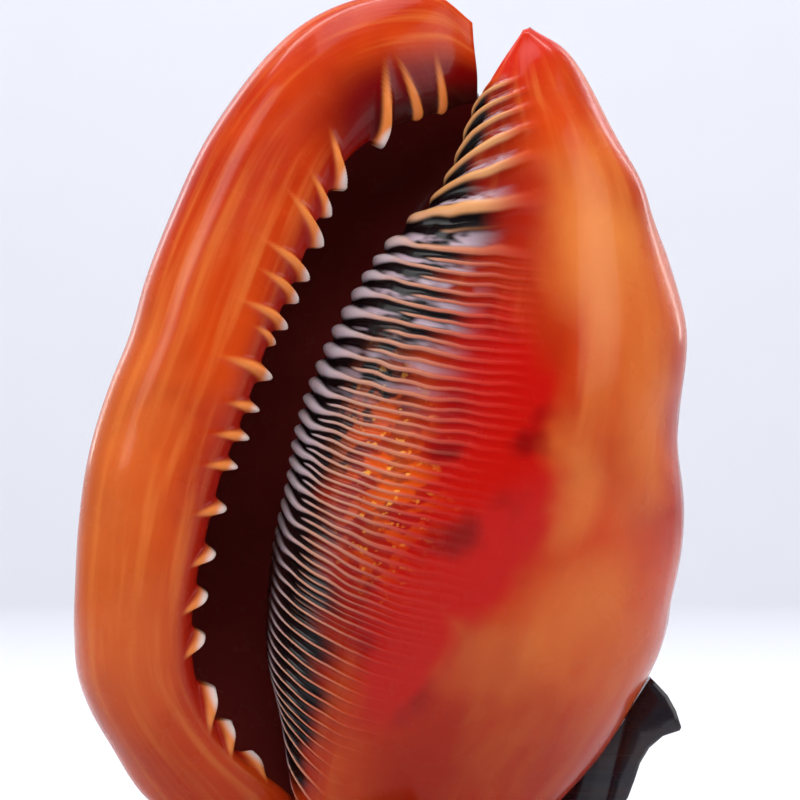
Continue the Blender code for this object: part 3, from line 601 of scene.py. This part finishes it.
def wood_finish(name, along, colours):
    """Near-black lacquered wood whose grain runs along one axis and shows where it catches the light."""
    f = Finish(name)
    stretch = [6.0 if axis == along else 90.0 for axis in "xyz"]
    grain = f.noise(1.6, 6, stretch=stretch, distortion=1.5)
    fine = f.noise(9, 3, stretch=stretch)
    colour = f.mix(f.spread(grain, 0.42, 0.66), colours.wood, colours.grain)
    f.feed(f.shader.inputs["Base Color"], colour)
    f.feed(f.shader.inputs["Roughness"], f.spread(fine, 0.3, 0.7, 0.18, 0.3))
    f.feed(f.shader.inputs["Normal"], f.bump(fine, 0.12, 0.0004))
    f.shader.inputs["Specular IOR Level"].default_value = 0.3
    f.shader.inputs["Coat Weight"].default_value = 0.3
    f.shader.inputs["Coat Roughness"].default_value = 0.07
    return f.material


def floor_finish(colour):
    f = Finish("pale floor")
    f.feed(f.shader.inputs["Base Color"], colour)
    f.feed(f.shader.inputs["Roughness"], f.spread(f.noise(40), 0.3, 0.7, 0.5, 0.6))
    return f.material


def colour_property(name, seen, description):
    return FloatVectorProperty(name=name, description=description, subtype="COLOR", size=3, min=0, max=1,
                               default=linear(*seen))


def light_power(name, watts, description):
    return FloatProperty(name=name, description=description, default=watts, min=0, unit="POWER")


class ShellSizes(bpy.types.PropertyGroup):
    ridge_height: FloatProperty(name="Ridge height", default=0.95, min=0, max=2,
                                description="Height of the ridges by the mouth, in millimetres")
    tooth_height: FloatProperty(name="Tooth size", default=1.0, min=0, max=1.5,
                                description="Height of the teeth, over that of the real ones")
    knob_height: FloatProperty(name="Knob size", default=1.0, min=0, max=1.2,
                               description="Height of the knobs, over that of the real ones")
    unevenness: FloatProperty(name="Unevenness", description="Slow waves of the surface, in millimetres",
                              default=0.45, min=0, max=1)


class ShellColours(bpy.types.PropertyGroup):
    orange: colour_property("Orange", (214, 70, 14), "Most of the lip and the shield")
    deep_orange: colour_property("Deep orange", (180, 36, 8), "Darker clouds in the orange")
    # Pale orange: lighter clouds and bands of the shell, and a painted highlight high on the shield.
    pale_orange: colour_property("Pale orange", (240, 136, 62), "Lighter clouds and bands in the orange")
    brown: colour_property("Brown", (120, 34, 12), "Shade toward the spire and blotches of the back")
    red: colour_property("Red", (202, 15, 6), "Beside the ridges and at the top of the pillar side")
    crimson: colour_property("Crimson", (120, 3, 5), "The darkest of the red")
    edge: colour_property("Edge", (52, 20, 18), "Smooth edge of the pillar side, low in the mouth")
    glow: colour_property("Glow", (226, 84, 10), "Light that shines through between the ridges")
    fleck: colour_property("Fleck", (250, 170, 60), "Brightest flecks of that light")
    # Painted glint: the colour of the highlight painted on the ridges' upper slopes near the notch.
    painted_glint: colour_property("Sheen", (190, 166, 178), "Milky glaze above the ridges near the notch")
    cream: colour_property("Cream", (224, 160, 104), "Crests of the coarse ridges near the notch")
    # Stain and painted shade: colour of the valleys between the ridges near the mouth's edge.
    stain_and_shade: colour_property("Stain", (14, 7, 9), "Valleys between the ridges near the mouth's edge")
    bead: colour_property("Bead", (200, 182, 190), "Ends of the ridges on the mouth's edge")
    crest: colour_property("Crest", (198, 144, 120), "Crests of the ridges")
    gum: colour_property("Gum", (160, 24, 12), "Lip between the teeth")
    root: colour_property("Root", (230, 132, 64), "Roots of the teeth")
    tip: colour_property("Tip", (236, 214, 206), "Tips of the teeth")
    throat: colour_property("Throat", (58, 12, 12), "Where the top of the lip turns inward")
    inside: colour_property("Inside", (140, 48, 44), "Space behind the mouth")
    back_dark: colour_property("Back, dark", (164, 72, 36), "Darker mottling of the back")
    back_light: colour_property("Back, light", (206, 128, 78), "Lighter mottling of the back")
    knob: colour_property("Knob", (226, 176, 134), "Tops of the knobs")


class StandColours(bpy.types.PropertyGroup):
    wood: colour_property("Wood", (30, 25, 32), "Stained and lacquered wood")
    grain: colour_property("Grain", (52, 30, 24), "Lighter grain in the wood")


class StudioSettings(bpy.types.PropertyGroup):
    floor: colour_property("Floor", (224, 226, 236), "Floor and backdrop")
    key: light_power("Key light", 1.0, "Power of the tall light at the left")
    fill: light_power("Fill light", 0.7, "Power of the tall light at the right")
    front: light_power("Front light", 1.2, "Power of the wide light above the camera")
    top: light_power("Top light", 0.7, "Power of the light above the shell")
    rim: light_power("Rim lights", 0.25, "Power of each narrow light behind the shell")
    wall: light_power("Wall light", 27, "Power of the light on the wall")


def deselect():
    bpy.ops.object.select_all(action="DESELECT")


class OBJECT_OT_helmet_shell(bpy.types.Operator):
    """Builds the shell from its guide curves, with its ridges, teeth, knobs and colours"""

    bl_idname = "object.helmet_shell"
    bl_label = "Build Helmet Shell"

    def execute(self, context):
        deselect()
        count = sum(COLUMNS)
        bpy.ops.mesh.primitive_grid_add(x_subdivisions=count, y_subdivisions=len(ROWS) - 1, size=1)
        shell = context.object
        shell.name = "shell_surface"
        mesh = shell.data
        points, numbers, shares = shell_surface(ROWS, COLUMNS, context.scene.shell_sizes)
        wrap = np.r_[0:count, 0]
        mesh.vertices.foreach_set("co", ((points[:, wrap] + ORIGIN) * MM).astype(np.float32).ravel())
        for name, share in shares.items():
            layer = mesh.attributes.new(name, "FLOAT", "POINT")
            layer.data.foreach_set("value", share[:, wrap].astype(np.float32).ravel())
        corner = np.empty(len(mesh.loops), dtype=np.int32)
        mesh.loops.foreach_get("vertex_index", corner)
        around = np.append(numbers, len(HEADINGS)) / len(HEADINGS)
        up = (ROWS - TIP_ROW) / (END_ROW - TIP_ROW)
        growth = mesh.uv_layers[0]
        growth.name = "growth"
        place = np.column_stack([around[corner % (count + 1)], up[corner // (count + 1)]])
        growth.data.foreach_set("uv", place.astype(np.float32).ravel())
        close_rim_and_seam(mesh, count + 1)
        bpy.ops.object.shade_smooth()
        mesh.materials.append(shell_finish(context.scene.shell_colours))
        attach(shell, "root")
        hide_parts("shell")
        return {"FINISHED"}


class OBJECT_OT_shell_stand(bpy.types.Operator):
    """Finishes the stand's boards from their solids, with smooth edges and lacquered wood"""

    bl_idname = "object.shell_stand"
    bl_label = "Build Shell Stand"

    def execute(self, context):
        for node, along in (("cross_board", "x"), ("fore_aft_board", "y")):
            deselect()
            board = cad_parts[node].copy()
            board.data = board.data.copy()
            board.name = f"{node}_lacquered"
            context.collection.objects.link(board)
            board.select_set(True)
            context.view_layer.objects.active = board
            bpy.ops.object.mode_set(mode="EDIT")
            bpy.ops.mesh.select_all(action="SELECT")
            bpy.ops.mesh.remove_doubles(threshold=0.00001)
            bpy.ops.object.mode_set(mode="OBJECT")
            bpy.ops.object.shade_smooth_by_angle(angle=math.radians(28))
            board.data.materials.clear()
            board.data.materials.append(wood_finish(f"lacquered {node}", along, context.scene.stand_colours))
            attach(board, "root")
            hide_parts(node)
        return {"FINISHED"}


class OBJECT_OT_shell_studio(bpy.types.Operator):
    """Sets the floor, the lights and the camera"""

    bl_idname = "object.shell_studio"
    bl_label = "Set Shell Studio"

    def execute(self, context):
        settings = context.scene.studio_settings
        deselect()
        bpy.ops.mesh.primitive_plane_add(size=FLOOR_SIZE, location=(0, WALL_Y - FLOOR_SIZE / 2, 0))
        floor = context.object
        floor.name = "floor_and_wall"
        bpy.ops.object.mode_set(mode="EDIT")
        for fold in (False, True):
            sweep = bmesh.from_edit_mesh(floor.data)
            for edge in sweep.edges:
                ends = [floor.matrix_world @ vert.co for vert in edge.verts]
                edge.select_set(all(abs(end.y - WALL_Y) < MM and end.z < MM for end in ends))
            sweep.select_flush_mode()
            bmesh.update_edit_mesh(floor.data)
            if fold:
                bpy.ops.mesh.bevel(offset=FLOOR_BEND, segments=24)
            else:
                bpy.ops.mesh.extrude_region_move(TRANSFORM_OT_translate={"value": (0, 0, WALL_HEIGHT)})
        bpy.ops.object.mode_set(mode="OBJECT")
        bpy.ops.object.transform_apply()
        bpy.ops.object.shade_smooth()
        floor.data.materials.append(floor_finish(settings.floor))
        for name, place, target, size, power, spread in (
                ("key light", (-0.7, -0.5, 0.7), (0, 0, 0.12), (0.45, 0.9), settings.key, 70),
                ("fill light", (0.9, -0.3, 0.5), (0, 0, 0.11), (0.6, 0.9), settings.fill, 70),
                ("front light", (0.1, -1.5, 1.0), (0, 0, 0.1), (1.2, 0.5), settings.front, 50),
                ("top light", (0.05, -0.1, 1.0), (0, 0, 0.1), (0.5, 0.5), settings.top, 90),
                ("left rim light", (-0.5, 0.75, 0.5), (0, 0, 0.12), (0.08, 0.7), settings.rim, 90),
                ("right rim light", (0.55, 0.7, 0.45), (0, 0, 0.12), (0.08, 0.7), settings.rim, 90),
                ("wall light", (0, 0.35, 1.3), (0, WALL_Y, 0.35), (1.6, 0.4), settings.wall, 180)):
            bpy.ops.object.light_add(type="AREA", location=place)
            light = context.object
            light.name = name
            light.data.shape = "RECTANGLE"
            light.data.size, light.data.size_y = size
            light.data.energy = power
            light.data.spread = math.radians(spread)
            light.visible_glossy = name != "front light"
            light.rotation_euler = (Vector(target) - light.location).to_track_quat("-Z", "Y").to_euler()
        world = bpy.data.worlds.new("studio")
        world.use_nodes = True
        sky = world.node_tree.nodes["Background"]
        sky.inputs["Color"].default_value = WORLD_COLOUR
        sky.inputs["Strength"].default_value = WORLD_STRENGTH
        context.scene.world = world
        context.scene.view_settings.view_transform = "Standard"
        place = (Vector(CAMERA_PLACE) + Vector(ORIGIN)) * MM
        bpy.ops.object.camera_add(location=place, rotation=(math.radians(90), 0, 0))
        camera = context.object
        camera.data.sensor_width = CAMERA_SENSOR
        camera.data.lens = CAMERA_SENSOR * CAMERA_DISTANCE / (PICTURE_WIDTH * PIXEL)
        camera.data.clip_start = 0.01
        context.scene.camera = camera
        return {"FINISHED"}


class VIEW3D_PT_helmet_shell(bpy.types.Panel):
    bl_label = "Helmet Shell"
    bl_space_type = "VIEW_3D"
    bl_region_type = "UI"
    bl_category = "Helmet Shell"

    def draw(self, context):
        layout = self.layout
        for group in ("shell_sizes", "shell_colours", "stand_colours", "studio_settings"):
            settings = getattr(context.scene, group)
            column = layout.column()
            for name in settings.__annotations__:
                column.prop(settings, name)
        for operator in (OBJECT_OT_helmet_shell, OBJECT_OT_shell_stand, OBJECT_OT_shell_studio):
            layout.operator(operator.bl_idname)


GROUPS = {"shell_sizes": ShellSizes, "shell_colours": ShellColours, "stand_colours": StandColours,
          "studio_settings": StudioSettings}
CLASSES = (*GROUPS.values(), OBJECT_OT_helmet_shell, OBJECT_OT_shell_stand, OBJECT_OT_shell_studio,
           VIEW3D_PT_helmet_shell)


def register():
    for item in CLASSES:
        bpy.utils.register_class(item)
    for name, group in GROUPS.items():
        setattr(bpy.types.Scene, name, PointerProperty(type=group))


def unregister():
    for name in GROUPS:
        delattr(bpy.types.Scene, name)
    for item in reversed(CLASSES):
        bpy.utils.unregister_class(item)


def main():
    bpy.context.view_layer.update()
    register()
    bpy.ops.object.helmet_shell()
    bpy.ops.object.shell_stand()
    bpy.ops.object.shell_studio()
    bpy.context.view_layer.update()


if __name__ == "__main__":
    main()
